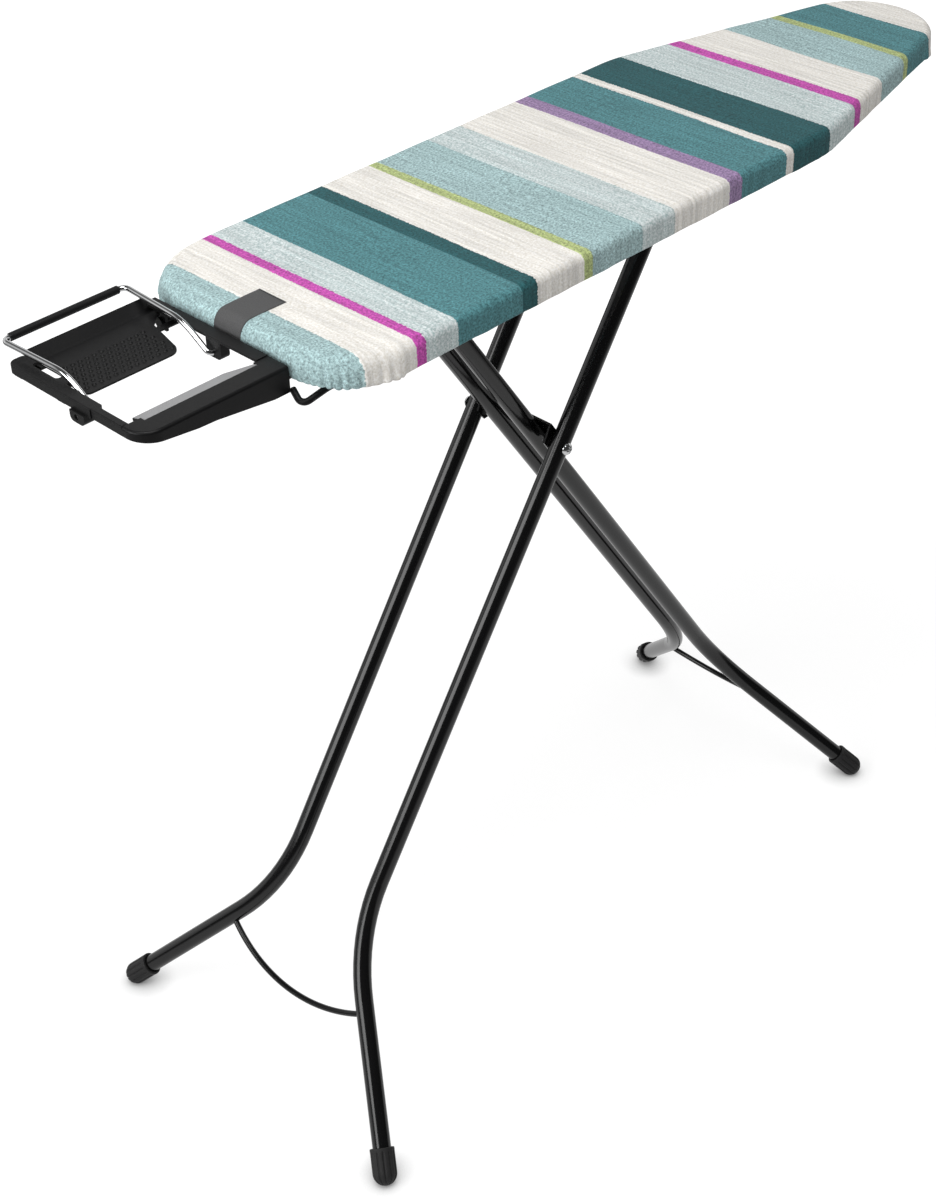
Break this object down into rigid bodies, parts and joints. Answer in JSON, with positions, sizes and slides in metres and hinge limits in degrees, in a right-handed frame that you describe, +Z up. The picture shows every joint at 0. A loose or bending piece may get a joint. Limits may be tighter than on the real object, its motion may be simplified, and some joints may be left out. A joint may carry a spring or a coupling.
{
  "type": "folding ironing board",
  "caption": "Folding ironing board with a padded cloth top, crossed flared tube legs, an open iron rest with a swinging wire bail, and a height release lever.",
  "frame": {"origin": "on the floor under the middle of the object's box", "axes": "+X to the nose, +Y to the far long side, +Z up"},
  "size_m": [1.2834, 0.4892, 1.0146],
  "materials": {
    "tube_lacquer": "semi-gloss black powder coat",
    "black_moulding": "fine-grained black",
    "foot_rubber": "matte fluted",
    "zinc_steel": "zinc plated",
    "rest_lacquer": "satin black lacquer",
    "chrome": "bright chrome",
    "sleeve": "soft black tube",
    "cover_cloth": "printed cotton in plain stripes",
    "label_cloth": "woven tape",
    "pad_felt": "felt and foam",
    "panel_paint": "grey powder coat"
  },
  "bodies": {
    "top": {"rest_housing": "black_moulding", "rest_outer_rail": "black_moulding", "bail_clip_outer": "black_moulding", "bail_clip_board": "black_moulding", "rest_socket_left": "black_moulding", "rest_socket_right": "black_moulding", "panel_rivets": "zinc_steel", "lever_clip_rear": "zinc_steel", "lever_clip_front": "zinc_steel", "lever_spring": "zinc_steel", "slide_rail_left": "zinc_steel", "slide_rail_right": "zinc_steel", "hinge_bracket": "zinc_steel", "rest_plate": "rest_lacquer", "rest_board_rail": "rest_lacquer", "rest_rod_left": "rest_lacquer", "rest_rod_right": "rest_lacquer", "cover": "cover_cloth", "cover_label": "label_cloth", "foam_pad": "pad_felt", "top_panel": "panel_paint"},
    "inner_legs": {"inner_leg_left": "tube_lacquer", "inner_leg_right": "tube_lacquer", "inner_foot_left": "foot_rubber", "inner_foot_right": "foot_rubber", "inner_plug_left": "black_moulding", "inner_plug_right": "black_moulding", "inner_spreader": "tube_lacquer", "inner_axle": "zinc_steel", "inner_axle_nuts": "zinc_steel", "pivot_bracket": "tube_lacquer"},
    "outer_legs": {"outer_leg_left": "tube_lacquer", "outer_leg_right": "tube_lacquer", "outer_foot_left": "foot_rubber", "outer_foot_right": "foot_rubber", "outer_plug_left": "black_moulding", "outer_plug_right": "black_moulding", "outer_spreader": "tube_lacquer", "outer_axle": "zinc_steel", "outer_axle_nuts": "zinc_steel", "outer_axle_spacers": "black_moulding", "pivot_bolt_left": "chrome", "pivot_bolt_right": "chrome", "pivot_washers": "black_moulding", "pivot_nuts": "zinc_steel"},
    "lever": {"release_lever": "rest_lacquer", "lever_catch": "zinc_steel"},
    "bail": {"bail_wire": "chrome", "bail_sleeve": "sleeve"}
  },
  "joints": [
    {"name": "leg_fold", "type": "hinge", "parent": "top", "child": "inner_legs", "pos_m": [-0.23964, 0, 0.978], "axis": [0, -1, 0], "range_deg": [0, 53.4]},
    {"name": "scissor_pivot", "type": "hinge", "parent": "inner_legs", "child": "outer_legs", "pos_m": [-0.06225, 0, 0.716], "axis": [0, 1, 0], "range_deg": [0, 106.8]},
    {"name": "lever_squeeze", "type": "hinge", "parent": "top", "child": "lever", "pos_m": [0, -0.113, 0.975], "axis": [1, 0, 0], "range_deg": [0, 10], "stiffness_Nm_per_rad": 0.8, "springref_deg": -8.59, "deforming": ["lever_spring"]},
    {"name": "bail_swing", "type": "hinge", "parent": "top", "child": "bail", "pos_m": [-0.55025, 0.008, 0.9835], "axis": [1, 0, 0], "range_deg": [0, 100]}
  ],
  "couplings": [
    {"joint": "scissor_pivot", "follows": "leg_fold", "ratio": 2}
  ]
}
